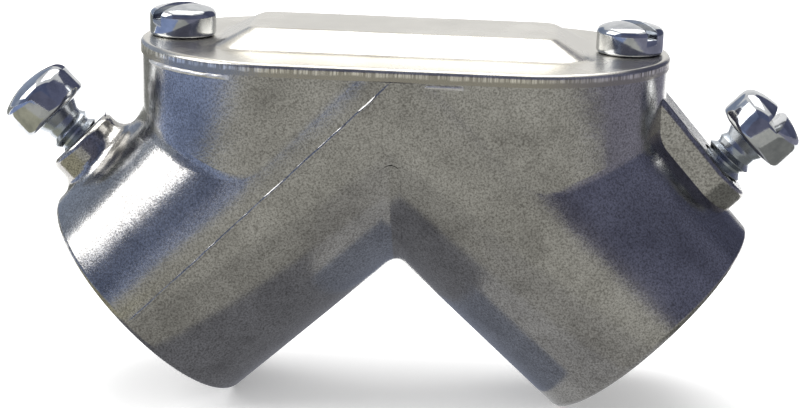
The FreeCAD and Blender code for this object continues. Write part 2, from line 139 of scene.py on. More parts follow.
class NodeGraph:
    """The nodes of a material or a world, built one at a time."""

    def __init__(self, owner: bpy.types.Material | bpy.types.World) -> None:
        """Empty the owner's tree.

        Args:
            owner: What the nodes belong to.
        """
        owner.use_nodes = True
        self.tree = owner.node_tree
        self.tree.nodes.clear()

    def add(self, kind: str, inputs: dict | None = None,
            stops: tuple[tuple[float, str], ...] = (), **settings: object) -> bpy.types.Node:
        """Add a node with its settings and links.

        Args:
            kind: The node's type name.
            inputs: Socket name or number to a value, or to an output socket to link from.
            stops: Pairs of position and sRGB hex colour for a colour ramp, lowest first.
            **settings: Properties of the node.

        Returns:
            The new node.
        """
        node = self.tree.nodes.new(kind)
        for key, value in settings.items():
            setattr(node, key, value)
        for key, value in (inputs or {}).items():
            if isinstance(value, bpy.types.NodeSocket):
                self.tree.links.new(value, node.inputs[key])
            else:
                node.inputs[key].default_value = value
        while stops and len(node.color_ramp.elements) < len(stops):
            node.color_ramp.elements.new(0.5)
        for number, (position, code) in enumerate(stops):
            node.color_ramp.elements[number].position = position
            node.color_ramp.elements[number].color = linear(code)
        return node

    def looked_at(self) -> bpy.types.NodeSocket:
        """Tell the rays that look at a surface from those that it lights others with.

        Returns:
            A socket that is 1 for camera, glossy and transmission rays and 0 for the others.
        """
        path = self.add("ShaderNodeLightPath")
        seen = self.add("ShaderNodeMath", {0: path.outputs["Is Camera Ray"],
                                           1: path.outputs["Is Glossy Ray"]},
                        operation="MAXIMUM")
        through = self.add("ShaderNodeMath", {0: seen.outputs[0],
                                              1: path.outputs["Is Transmission Ray"]},
                           operation="MAXIMUM")
        return through.outputs[0]


class Shader(NodeGraph):
    """A material with one Principled shader, whose patterns read Object coordinates."""

    def __init__(self, name: str, constants: dict) -> None:
        """Make the material.

        Args:
            name: The material's name.
            constants: Values of the Principled shader's inputs.
        """
        self.material = bpy.data.materials.new(name)
        super().__init__(self.material)
        self.surface = self.add("ShaderNodeBsdfPrincipled", constants)
        self.output = self.add("ShaderNodeOutputMaterial",
                               {"Surface": self.surface.outputs[0]})
        self.coordinates = self.add("ShaderNodeTexCoord")
        self.place = self.coordinates.outputs["Object"]

    def feed(self, name: str, source: bpy.types.NodeSocket) -> None:
        """Link a socket to one of the Principled shader's inputs."""
        self.tree.links.new(source, self.surface.inputs[name])

    def show(self, source: bpy.types.NodeSocket) -> None:
        """Let a shader's socket be what the material shows."""
        self.tree.links.new(source, self.output.inputs["Surface"])

    def drift(self, drift: Drift) -> bpy.types.NodeSocket:
        """Let roughness and colour change together over the piece.

        Args:
            drift: Size and range of the clouds.

        Returns:
            The colour's socket.
        """
        clouds = self.add("ShaderNodeTexNoise", {
            "Vector": self.place, "Scale": per_mm(drift.size_mm), "Detail": drift.detail,
            "Roughness": drift.fineness})
        roughness = self.add("ShaderNodeMapRange", {
            "Value": clouds.outputs[0], "From Min": NOISE_LOW, "From Max": NOISE_HIGH,
            "To Min": drift.smoothest, "To Max": drift.roughest})
        self.feed("Roughness", roughness.outputs[0])
        return self.add("ShaderNodeValToRGB", {"Fac": clouds.outputs[0]},
                        stops=drift.tones).outputs[0]

    def skin(self, layers: tuple[Relief, ...]) -> bpy.types.NodeSocket:
        """Lay fine relief over the piece, one layer on another.

        Args:
            layers: The relief, coarsest first.

        Returns:
            The normal's socket.
        """
        under = {}
        for layer in layers:
            height = self.add("ShaderNodeTexNoise", {
                "Vector": self.place, "Scale": per_mm(layer.size_mm), "Detail": 2.0,
                "Roughness": layer.fineness})
            bump = self.add("ShaderNodeBump", {
                "Height": height.outputs[0], "Distance": layer.depth_mm * MM,
                "Strength": layer.strength, **under})
            under = {"Normal": bump.outputs[0]}
        return under["Normal"]


@dataclass(frozen=True)
class CastZinc:
    """Die-cast zinc, tumbled: a satin metal whose fine pebbled skin frays every reflection.

    The finest grain of such a skin wouldn't show, so its pebbles are as coarse as they need to be.
    """

    name: str = "die_cast_zinc"
    drift: Drift = Drift(tones=((0.3, "#A09E9B"), (0.5, "#B6B4B0"), (0.72, "#C6C4C0")),
                         size_mm=5.0, detail=4.0, fineness=0.62, smoothest=0.14, roughest=0.21)
    pits: tuple = ((0.32, "#94928F"), (0.6, "#FFFFFF"))
    pit_share: float = 0.8
    dents: Relief = Relief(size_mm=2.5, depth_mm=0.05, strength=0.3)
    ripples: Relief = Relief(size_mm=0.7, depth_mm=0.014, strength=0.5)
    pebbles: Relief = Relief(size_mm=0.16, depth_mm=0.009, strength=0.6, fineness=0.7)

    def build(self) -> bpy.types.Material:
        """Make the material.

        Returns:
            Clouded grey metal with darker pits between its pebbles.
        """
        shader = Shader(self.name, {"Metallic": 1.0})
        colour = shader.drift(self.drift)
        pebbles = shader.add("ShaderNodeTexNoise", {
            "Vector": shader.place, "Scale": per_mm(self.pebbles.size_mm), "Detail": 2.0,
            "Roughness": self.pebbles.fineness})
        pits = shader.add("ShaderNodeValToRGB", {"Fac": pebbles.outputs[0]}, stops=self.pits)
        tinted = shader.add("ShaderNodeMix", {"Factor": self.pit_share, 6: colour,
                                              7: pits.outputs[0]},
                            data_type="RGBA", blend_type="MULTIPLY")
        shader.feed("Base Color", tinted.outputs[2])
        shader.feed("Normal", shader.skin((self.dents, self.ripples, self.pebbles)))
        return shader.material


@dataclass(frozen=True)
class PlatedSheet:
    """Stamped steel with zinc plate: satin faces, and an edge sheared bright and then torn dull."""

    drift: Drift = Drift(tones=((0.35, "#B3AFA5"), (0.7, "#CBC8C0")), size_mm=6.0,
                         detail=3.0, fineness=0.6, smoothest=0.2, roughest=0.3)
    grain: Relief = Relief(size_mm=0.5, depth_mm=0.01, strength=0.4)
    torn_hex: str = "#A9A498"
    sheared_hex: str = "#F4EFE2"
    tear_middle_mm: float = 0.6
    tear_wander_mm: float = 0.4
    tear_soft_mm: float = 0.08
    wave_mm: float = 1.5
    streak_mm: float = 0.3
    streak_stretch: float = 0.04
    streak_depth_mm: float = 0.04
    streak_strength: float = 0.5
    streak_dullest: float = 0.42
    streak_brightest: float = 0.62
    side_steepest: float = 0.1
    face_flattest: float = 0.35

    def build(self) -> bpy.types.Material:
        """Make the material.

        Returns:
            Plated sheet whose sides, told by their normal, have the sheared and torn bands.
        """
        shader = Shader("plated_steel_sheet", {"Metallic": 1.0})
        face = shader.drift(self.drift)
        skin = shader.skin((self.grain,))
        drawn = shader.add("ShaderNodeMapping", {"Vector": shader.place,
                                                 "Scale": (1.0, 1.0, self.streak_stretch)})
        streaks = shader.add("ShaderNodeTexNoise", {
            "Vector": drawn.outputs[0], "Scale": per_mm(self.streak_mm), "Detail": 3.0,
            "Roughness": 0.7}).outputs[0]
        side = self.side(shader, streaks)
        facing = shader.add("ShaderNodeSeparateXYZ",
                            {0: shader.coordinates.outputs["Normal"]})
        level = shader.add("ShaderNodeMath", {0: facing.outputs["Z"]}, operation="ABSOLUTE")
        flat = shader.add("ShaderNodeMapRange", {
            "Value": level.outputs[0], "From Min": self.side_steepest,
            "From Max": self.face_flattest}).outputs[0]
        colour = shader.add("ShaderNodeMix", {"Factor": flat, 6: side, 7: face},
                            data_type="RGBA")
        shader.feed("Base Color", colour.outputs[2])
        edge = shader.add("ShaderNodeBump", {
            "Height": streaks, "Distance": self.streak_depth_mm * MM,
            "Strength": self.streak_strength, "Normal": skin})
        normal = shader.add("ShaderNodeMix", {"Factor": flat, 4: edge.outputs[0], 5: skin},
                            data_type="VECTOR")
        shader.feed("Normal", normal.outputs[1])
        return shader.material

    def side(self, shader: Shader, streaks: bpy.types.NodeSocket) -> bpy.types.NodeSocket:
        """Colour the edge: bright streaks where it was sheared, dull below where it tore.

        Args:
            shader: The material in the making.
            streaks: Noise drawn out along the cut.

        Returns:
            The edge's colour.
        """
        waves = shader.add("ShaderNodeTexNoise", {
            "Vector": shader.place, "Scale": per_mm(self.wave_mm), "Detail": 2.0})
        place = shader.add("ShaderNodeSeparateXYZ", {0: shader.place})
        tear = shader.add("ShaderNodeMath", {
            0: waves.outputs[0], 1: self.tear_wander_mm * MM, 2: place.outputs["Z"]},
            operation="MULTIPLY_ADD")
        upper = shader.add("ShaderNodeMapRange", {
            "Value": tear.outputs[0],
            "From Min": (self.tear_middle_mm - self.tear_soft_mm) * MM,
            "From Max": (self.tear_middle_mm + self.tear_soft_mm) * MM})
        bright = shader.add("ShaderNodeMapRange", {
            "Value": streaks, "From Min": self.streak_dullest,
            "From Max": self.streak_brightest})
        share = shader.add("ShaderNodeMath", {0: upper.outputs[0], 1: bright.outputs[0]},
                           operation="MULTIPLY")
        side = shader.add("ShaderNodeMix", {
            "Factor": share.outputs[0], 6: linear(self.torn_hex),
            7: linear(self.sheared_hex)}, data_type="RGBA")
        return side.outputs[2]


@dataclass(frozen=True)
class BrightPlate:
    """Bright zinc plate on steel screws: mirror-like, with a faint hammered skin.

    The skin bends reflections a little. It is drawn coarser than it is, so that it shows.
    """

    name: str = "bright_zinc_plate"
    drift: Drift = Drift(tones=((0.3, "#A4A7AB"), (0.6, "#C4C6C8")), size_mm=1.5,
                         detail=3.0, fineness=0.6, smoothest=0.07, roughest=0.13)
    hammer: Relief = Relief(size_mm=0.35, depth_mm=0.008, strength=0.3)

    def build(self) -> bpy.types.Material:
        """Make the material.

        Returns:
            A mirror of slightly uneven grey.
        """
        shader = Shader(self.name, {"Metallic": 1.0})
        shader.feed("Base Color", shader.drift(self.drift))
        shader.feed("Normal", shader.skin((self.hammer,)))
        return shader.material


def dress(piece: bpy.types.Object, material: bpy.types.Material) -> None:
    """Give a piece one material.

    Args:
        piece: A new piece or a CAD node.
        material: What it is made of.
    """
    if piece.material_slots:
        for holder in piece.material_slots:
            holder.material = material
    else:
        piece.data.materials.append(material)


def smooth_by_angle(piece: bpy.types.Object, angle_deg: float) -> None:
    """Shade a mesh smooth, with edges sharper than an angle kept crisp.

    Args:
        piece: A new piece with merged vertices.
        angle_deg: Edges turning by more than this stay sharp.
    """
    mesh = piece.data
    for face in mesh.polygons:
        face.use_smooth = True
    shape = bmesh.new()
    shape.from_mesh(mesh)
    for edge in shape.edges:
        turn = edge.calc_face_angle(math.pi) if len(edge.link_faces) == 2 else math.pi
        edge.smooth = turn < math.radians(angle_deg)
    shape.to_mesh(mesh)
    shape.free()


def new_piece(name: str, shape: bmesh.types.BMesh) -> bpy.types.Object:
    """Make an object at the origin from a bmesh, and free the bmesh.

    Args:
        name: The piece's name.
        shape: Its geometry in the row frame.

    Returns:
        The new object.
    """
    mesh = bpy.data.meshes.new(name)
    shape.to_mesh(mesh)
    shape.free()
    piece = bpy.data.objects.new(name, mesh)
    bpy.context.scene.collection.objects.link(piece)
    return piece


def applied(piece: bpy.types.Object) -> None:
    """Bake a piece's modifiers into its mesh.

    Args:
        piece: The piece whose modifiers are applied.
    """
    graph = bpy.context.evaluated_depsgraph_get()
    mesh = bpy.data.meshes.new_from_object(piece.evaluated_get(graph))
    piece.modifiers.clear()
    piece.data = mesh


@dataclass
class SlottedScrew:
    """A slotted fillister-head machine screw with a cut thread, along its own +Z.

    The underside of the head is at the screw's own origin. From flank_start on, the fields are
    shares: of one pitch, for the thread's profile, and of its height, for what is left at the tip.
    """

    node: str
    body: str
    place: Matrix
    shank_radius: float
    length: float
    head_radius: float
    head_side: float
    head_crown: float
    crown_round: float
    slot_width: float
    slot_depth: float
    pitch: float = 0.794 * MM
    neck: float = 0.5 * MM
    under_round: float = 0.35 * MM
    edge_bevel: float = 0.06 * MM
    bevel_above_deg: float = 40.0
    crisp_above_deg: float = 35.0
    tip_lead: float = 0.4 * MM
    thread_depth: float = 0.4 * MM
    neck_ease: float = 0.01 * MM
    steps: int = 40
    sides: int = 72
    arc_steps: int = 6
    flank_start: float = 0.1
    crest_start: float = 0.47
    crest_end: float = 0.53
    flank_end: float = 0.9
    tip_share: float = 0.15

    @property
    def root(self) -> float:
        """Radius at the bottom of the thread."""
        return self.shank_radius - self.thread_depth

    def head(self) -> bmesh.types.BMesh:
        """Turn the head's outline about the axis: a rounded foot, a side, a shoulder and a crown.

        Returns:
            A closed bmesh of the head without its slot.
        """
        shape = bmesh.new()
        under = self.under_round
        dome = (self.head_radius ** 2 + self.head_crown ** 2) / (2 * self.head_crown)
        dome_height = self.head_side + self.head_crown - dome
        inset = self.head_radius - self.crown_round
        shoulder_height = dome_height + math.sqrt((dome - self.crown_round) ** 2 - inset ** 2)
        lean = math.atan2(shoulder_height - dome_height, inset)

        last = shape.verts.new((0, 0, 0))
        last = self.straight(shape, last, (self.head_radius - under, 0, 0))
        last = self.arc(shape, last, (self.head_radius - under, 0, under), math.pi / 2)
        last = self.straight(shape, last, (self.head_radius, 0, shoulder_height))
        last = self.arc(shape, last, (inset, 0, shoulder_height), lean)
        self.arc(shape, last, (0, 0, dome_height), math.pi / 2 - lean)
        bmesh.ops.spin(shape, geom=shape.verts[:] + shape.edges[:], cent=(0, 0, 0),
                       axis=(0, 0, 1), angle=math.tau, steps=self.sides, use_merge=True)
        bmesh.ops.remove_doubles(shape, verts=shape.verts, dist=MERGE_DISTANCE)
        bmesh.ops.recalc_face_normals(shape, faces=shape.faces)
        return shape

    def straight(self, shape: bmesh.types.BMesh, last: bmesh.types.BMVert,
                 place: tuple) -> bmesh.types.BMVert:
        """Carry an outline on in a straight line.

        Args:
            shape: The outline so far.
            last: Its end.
            place: Where the line goes.

        Returns:
            The outline's new end.
        """
        end = shape.verts.new(place)
        shape.edges.new((last, end))
        return end

    def arc(self, shape: bmesh.types.BMesh, last: bmesh.types.BMVert, centre: tuple,
            angle: float) -> bmesh.types.BMVert:
        """Carry an outline on round a centre, turning from +X towards +Z.

        Args:
            shape: The outline so far.
            last: Its end.
            centre: The arc's centre.
            angle: How far it turns.

        Returns:
            The outline's new end.
        """
        result = bmesh.ops.spin(shape, geom=[last], cent=centre, axis=(0, -1, 0), angle=angle,
                                steps=self.arc_steps)
        return next(item for item in result["geom_last"] if isinstance(item, bmesh.types.BMVert))

    def thread(self) -> bmesh.types.BMesh:
        """Sweep one thread's profile down a helix and square off its ends.

        Returns:
            A closed bmesh of the threaded shank.
        """
        shape = bmesh.new()
        turns = math.ceil(self.length / self.pitch) + 2
        profile = ((self.root, 0.0), (self.root, self.flank_start),
                   (self.shank_radius, self.crest_start), (self.shank_radius, self.crest_end),
                   (self.root, self.flank_end), (self.root, 1.0))
        verts = [shape.verts.new((x, 0, -share * self.pitch + self.pitch)) for x, share in profile]
        edges = [shape.edges.new(pair) for pair in zip(verts, verts[1:])]
        bmesh.ops.spin(shape, geom=verts + edges, cent=(0, 0, 0), axis=(0, 0, 1),
                       dvec=(0, 0, -self.pitch / self.steps), angle=-math.tau * turns,
                       steps=self.steps * turns, use_merge=False)
        bmesh.ops.remove_doubles(shape, verts=shape.verts, dist=2 * MERGE_DISTANCE)
        for height, up in ((-0.5 * self.neck, True), (-self.length, False)):
            cut = bmesh.ops.bisect_plane(shape, geom=shape.verts[:] + shape.edges[:]
                                         + shape.faces[:], plane_co=(0, 0, height),
                                         plane_no=(0, 0, 1), clear_outer=up, clear_inner=not up)
            rim = [item for item in cut["geom_cut"] if isinstance(item, bmesh.types.BMEdge)]
            bmesh.ops.edgeloop_fill(shape, edges=rim)
        self.run_in(shape)
        bmesh.ops.recalc_face_normals(shape, faces=shape.faces)
        return shape

    def run_in(self, shape: bmesh.types.BMesh) -> None:
        """Let the thread grow out of the neck and fade at the tip.

        Args:
            shape: The threaded shank.
        """
        for vert in shape.verts:
            below = (-vert.co.z - self.neck) / self.pitch
            above = (self.length + vert.co.z) / self.tip_lead
            share = min(max(below, 0.0), self.tip_share + (1.0 - self.tip_share) * above, 1.0)
            radius = vert.co.xy.length
            if radius > self.root:
                vert.co.xy *= (self.root + (radius - self.root) * share) / radius

    def collar(self) -> bmesh.types.BMesh:
        """Make the plain neck that narrows from the head to the thread's root.

        Returns:
            A closed bmesh of the neck.
        """
        shape = bmesh.new()
        bmesh.ops.create_cone(shape, cap_ends=True, segments=self.sides,
                              radius1=self.root - self.neck_ease, radius2=self.shank_radius,
                              depth=self.neck)
        bmesh.ops.translate(shape, vec=(0, 0, -0.5 * self.neck), verts=shape.verts)
        return shape

    def slotted_head(self) -> bpy.types.Object:
        """Make the head, cut its slot and soften its edges.

        Returns:
            The head, at the origin.
        """
        head = new_piece(f"{self.node}_bright", self.head())
        block = bmesh.new()
        bmesh.ops.create_cube(block, size=1.0)
        size = Matrix.Diagonal((4 * self.head_radius, self.slot_width, 2 * self.slot_depth, 1))
        lift = Matrix.Translation((0, 0, self.head_side + self.head_crown))
        bmesh.ops.transform(block, matrix=lift @ size, verts=block.verts)
        cutter = new_piece(f"{self.node}_cutter", block)
        slot = head.modifiers.new("slot", "BOOLEAN")
        slot.operation = "DIFFERENCE"
        slot.solver = "EXACT"
        slot.object = cutter
        soften = head.modifiers.new("soften", "BEVEL")
        soften.width = self.edge_bevel
        soften.segments = 2
        soften.limit_method = "ANGLE"
        soften.angle_limit = math.radians(self.bevel_above_deg)
        applied(head)
        bpy.data.objects.remove(cutter)
        return head

    def build(self, plate: bpy.types.Material, steel: bpy.types.Material) -> None:
        """Make the screw, place it and let it stand for its node.

        Args:
            plate: Finish of the head.
            steel: Finish of the thread.
        """
        screw = self.slotted_head()
        dress(screw, plate)
        screw.data.materials.append(steel)
        shape = bmesh.new()
        shape.from_mesh(screw.data)
        head_faces = len(shape.faces)
        for made in (self.thread(), self.collar()):
            mesh = bpy.data.meshes.new("shank")
            made.to_mesh(mesh)
            made.free()
            shape.from_mesh(mesh)
        shape.faces.ensure_lookup_table()
        for face in shape.faces[head_faces:]:
            face.material_index = 1
        bmesh.ops.transform(shape, matrix=self.place, verts=shape.verts)
        shape.to_mesh(screw.data)
        shape.free()
        smooth_by_angle(screw, self.crisp_above_deg)
        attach(screw, self.body)
        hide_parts(self.node)
        LOG.info("built %s", self.node)


@dataclass
class CoverScrews:
    """The two screws that hold the cover down."""

    plate: bpy.types.Material
    steel: bpy.types.Material
    half_spacing: float = 19.3 * MM
    cover_top: float = 1.08 * MM
    left_turn_deg: float = 46.0
    right_turn_deg: float = -49.0

    def build(self) -> None:
        """Make both, each with its slot at its own angle."""
        for side, turn_deg in ((Hand.LEFT, self.left_turn_deg),
                               (Hand.RIGHT, self.right_turn_deg)):
            name = side.name.lower()
            place = Matrix.Translation((side.value * self.half_spacing, 0, self.cover_top))
            place = place @ Matrix.Rotation(math.radians(turn_deg), 4, "Z")
            SlottedScrew(node=f"cover_screw_{name}", body=f"{name}_cover_screw", place=place,
                         shank_radius=1.75 * MM, length=6.3 * MM, head_radius=2.87 * MM,
                         head_side=2.15 * MM, head_crown=0.62 * MM, crown_round=0.65 * MM,
                         slot_width=1.1 * MM, slot_depth=1.3 * MM).build(self.plate, self.steel)


@dataclass
class SetScrews:
    """The two larger screws that grip the tubes, backed out of their bosses."""

    plate: bpy.types.Material
    steel: bpy.types.Material
    left_station: float = 26.1 * MM
    left_height: float = 16.95 * MM
    left_turn_deg: float = 0.0
    right_station: float = 25.4 * MM
    right_height: float = 16.8 * MM
    right_turn_deg: float = 90.0
    tip_height: float = 9.25 * MM

    def build(self) -> None:
        """Make both, each at its own height over its socket's axis."""
        for side, station, height, turn_deg in (
                (Hand.LEFT, self.left_station, self.left_height, self.left_turn_deg),
                (Hand.RIGHT, self.right_station, self.right_height, self.right_turn_deg)):
            name = side.name.lower()
            seat = side.along * station + side.outward * height
            lean = Matrix.Rotation(side.value * math.radians(45), 4, "Y")
            turn = Matrix.Rotation(math.radians(turn_deg), 4, "Z")
            SlottedScrew(node=f"set_screw_{name}", body=f"{name}_set_screw",
                         place=Matrix.Translation(seat) @ lean @ turn,
                         shank_radius=2.07 * MM, length=height - self.tip_height,
                         head_radius=3.4 * MM, head_side=3.0 * MM, head_crown=0.9 * MM,
                         crown_round=1.1 * MM, slot_width=1.15 * MM, slot_depth=1.45 * MM,
                         pitch=1.05 * MM, neck=0.8 * MM,
                         under_round=0.6 * MM).build(self.plate, self.steel)


@dataclass
class Casting:
    """What the dies left on the housing: a ridge where they met, flash, a burr and a soft crotch.

    The sockets' and the seat's sizes are those of the housing that the pieces lie on. A bead is
    worn away in patches: a wear field is the length of one, and ridge_least what is always left.
    """

    skin: bpy.types.Material
    # torn: lighter zinc of the flash and the burr, partly their fresh metal's own tone and partly a
    # painted highlight.
    torn: bpy.types.Material
    body: str = "housing"
    reach: float = 31.5 * MM
    mouth_radius: float = 11.42 * MM
    root_radius: float = 13.03 * MM
    widest: float = 13.02 * MM
    seat_centre: float = 9.95 * MM
    seat_radius: float = 12.7 * MM
    sink: float = 0.012 * MM
    ridge_start: float = 0.1 * MM
    ridge_end: float = 0.6 * MM
    ridge_half_width: float = 0.17 * MM
    ridge_height: float = 0.075 * MM
    ridge_wear: float = 1.6 * MM
    ridge_least: float = 0.35
    ridge_swell: float = 1.2
    swell_rate: float = 5.0
    wander: float = 0.05 * MM
    wander_length: float = 2.2 * MM
    wander_seed: tuple = (0.0, 5.0)
    wear_seed: tuple = (3.7, 1.3)
    flash_half_width: float = 0.2 * MM
    flash_height: float = 0.16 * MM
    flash_drop: float = 0.3 * MM
    flash_wear: float = 0.9 * MM
    taper_rate: float = 8.0
    left_flash_start_deg: float = 207.0
    left_flash_end_deg: float = 254.0
    front_flash_start_mm: float = -0.6
    front_flash_mm: float = 6.4
    fillet_reach: float = 1.1 * MM
    fillet_start_deg: float = 22.0
    fillet_sweep_deg: float = 136.0
    burr_station: float = 23.2 * MM
    burr_height: float = 13.75 * MM
    burr_rise_mm: tuple = (-0.02, -0.05, 0.62)
    burr_half_width: float = 0.16 * MM
    burr_flatness: float = 0.4
    burr_tip_share: float = 0.1
    burr_sides: int = 7
    crisp_above_deg: float = 50.0

    def radius(self, station: float) -> float:
        """Outside radius of a drafted socket at a distance along its axis."""
        return self.root_radius - (self.root_radius - self.mouth_radius) * station / self.reach

    def strip(self, name: str, metal: bpy.types.Material, segments: tuple[int, int],
              place: Callable[[float, float], Vector]) -> None:
        """Lay a fine grid along a path on the casting.

        Args:
            name: The piece's name.
            metal: What it is made of.
            segments: How many cells it has along and across.
            place: Turns a share along, 0 to 1, and a share across, -1 to 1, into a point.
        """
        shape = bmesh.new()
        bmesh.ops.create_grid(shape, x_segments=segments[0], y_segments=segments[1], size=0.5)
        for vert in shape.verts:
            vert.co = place(vert.co.x + 0.5, 2.0 * vert.co.y)
        self.finished(name, metal, shape)

    def finished(self, name: str, metal: bpy.types.Material, shape: bmesh.types.BMesh) -> None:
        """Make a smooth piece that rides on the housing.

        Args:
            name: The piece's name.
            metal: What it is made of.
            shape: Its geometry in the row frame.
        """
        piece = new_piece(name, shape)
        dress(piece, metal)
        smooth_by_angle(piece, self.crisp_above_deg)
        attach(piece, self.body)

    def worn(self, place: float, size: float, least: float) -> float:
        """Work out how much of a bead is left at a distance along it.

        Args:
            place: The distance.
            size: Length of one worn patch.
            least: The share that is always left.

        Returns:
            The share that is left, up to 1.
        """
        value = 0.5 + noise.noise(Vector((place / size, *self.wear_seed)))
        return min(max(value, least), 1.0)

    def ridge(self, name: str, front: float) -> None:
        """Lay the ridge along the left socket, in the plane where the two die halves met.

        Args:
            name: The piece's name.
            front: -1 for the front of the socket and 1 for its back.
        """
        start = self.ridge_start
        end = self.reach - self.ridge_end

        def place(share: float, across: float) -> Vector:
            """Find a point of the ridge, which is highest at its start, by the cover.

            Args:
                share: Share of the way along it.
                across: From -1 at one foot to 1 at the other.

            Returns:
                The point.
            """
            station = start + (end - start) * share
            radius = self.radius(station)
            left = self.worn(station, self.ridge_wear, self.ridge_least)
            left = left * (1.0 + self.ridge_swell * max(0.0, 1.0 - self.swell_rate * share))
            lift = self.ridge_height * left * (1.0 - across * across) - self.sink
            drift = noise.noise(Vector((station / self.wander_length, *self.wander_seed)))
            turn = (across * self.ridge_half_width + self.wander * drift) / radius
            spoke = Vector((0, front * math.cos(turn), 0)) + Hand.LEFT.outward * math.sin(turn)
            return Hand.LEFT.along * station + spoke * min(radius + lift, self.widest)

        self.strip(name, self.skin, (220, 6), place)

    def flash(self, name: str, path: Callable[[float], tuple[Vector, Vector]],
              length: float) -> None:
        """Lay a thin bright lip of flash along the seat's edge, just under the cover: the lip's
        lighter zinc is partly its own fresh metal and partly a painted highlight.

        Args:
            name: The piece's name.
            path: Turns a share along into a point of the seat's edge and the way out from it.
            length: Length of the path.
        """

        def place(share: float, across: float) -> Vector:
            """Find a point of the lip, which tapers out at both ends.

            Args:
                share: Share of the way along it.
                across: From -1 at its lower edge to 1 at its upper one.

            Returns:
                The point.
            """
            point, out = path(share)
            ends = min(1.0, self.taper_rate * share, self.taper_rate * (1.0 - share))
            left = self.worn(share * length, self.flash_wear, 0.0) * ends
            lift = self.flash_height * left * (1.0 - across * across) - self.sink
            drop = self.flash_drop - across * self.flash_half_width
            return point + out * lift - Vector((0, 0, drop))

        self.strip(name, self.torn, (160, 6), place)

    def left_flash(self) -> None:
        """Lay flash round the seat's left end."""
        start = math.radians(self.left_flash_start_deg)
        end = math.radians(self.left_flash_end_deg)

        def round_end(share: float) -> tuple[Vector, Vector]:
            """Find a point of the seat's round end.

            Args:
                share: Share of the way along it.

            Returns:
                The point, and the way out from it.
            """
            angle = start + (end - start) * share
            out = Vector((math.cos(angle), math.sin(angle), 0))
            return out * self.seat_radius - Vector((self.seat_centre, 0, 0)), out

        self.flash("seat_flash_left", round_end, (end - start) * self.seat_radius)

    def front_flash(self) -> None:
        """Lay flash along the middle of the seat's front edge."""

        def front_edge(share: float) -> tuple[Vector, Vector]:
            """Point of the seat's straight front, and the way out from it."""
            along = (self.front_flash_start_mm + self.front_flash_mm * share) * MM
            return Vector((along, -self.seat_radius, 0)), Vector((0, -1, 0))

        self.flash("seat_flash_front", front_edge, self.front_flash_mm * MM)

    def crotch(self) -> None:
        """Lay the fillet in the crease where the two sockets meet, front to back underneath."""
        draft = (self.root_radius - self.mouth_radius) / self.reach

        def on_socket(side: Hand, turn: float, station: float) -> Vector:
            """Point on a socket's outside."""
            spoke = Vector((0, -math.cos(turn), 0)) - side.outward * math.sin(turn)
            return side.along * station + spoke * self.radius(station)

        def place(share: float, across: float) -> Vector:
            """Find a point of the fillet, a parabola from one socket to the other.

            Args:
                share: Share of the way round the crease, from the front.
                across: From -1 on the left socket to 1 on the right one.

            Returns:
                The point.
            """
            turn = math.radians(self.fillet_start_deg + self.fillet_sweep_deg * share)
            crease = self.root_radius * math.sin(turn) / (1.0 + draft * math.sin(turn))
            middle = on_socket(Hand.LEFT, turn, crease)
            left = on_socket(Hand.LEFT, turn, crease + self.fillet_reach)
            right = on_socket(Hand.RIGHT, turn, crease + self.fillet_reach)
            step = 0.5 * (across + 1.0)
            ends = left * (1.0 - step) ** 2 + right * step ** 2
            return ends + middle * (2.0 * step * (1.0 - step))

        self.strip("crotch_fillet", self.skin, (64, 8), place)

    def burr(self) -> None:
        """Stand a small torn spike of metal on the left boss's edge, in lighter zinc that is partly
        its own fresh metal and partly a painted highlight.
        """
        foot = Hand.LEFT.along * self.burr_station + Hand.LEFT.outward * self.burr_height
        rise = Vector(self.burr_rise_mm) * MM
        shape = bmesh.new()
        bmesh.ops.create_cone(shape, cap_ends=True, segments=self.burr_sides,
                              radius1=self.burr_half_width,
                              radius2=self.burr_tip_share * self.burr_half_width,
                              depth=rise.length)
        turn = rise.to_track_quat("Z", "Y").to_matrix().to_4x4()
        flatten = Matrix.Diagonal((1, self.burr_flatness, 1, 1))
        matrix = Matrix.Translation(foot + rise / 2) @ turn @ flatten
        bmesh.ops.transform(shape, matrix=matrix, verts=shape.verts)
        self.finished("boss_burr", self.torn, shape)

    def build(self) -> None:
        """Make every piece."""
        self.ridge("parting_ridge_front", -1.0)
        self.ridge("parting_ridge_back", 1.0)
        self.left_flash()
        self.front_flash()
        self.crotch()
        self.burr()
        LOG.info("made the ridge, the flash, the fillet and the burr of the casting")


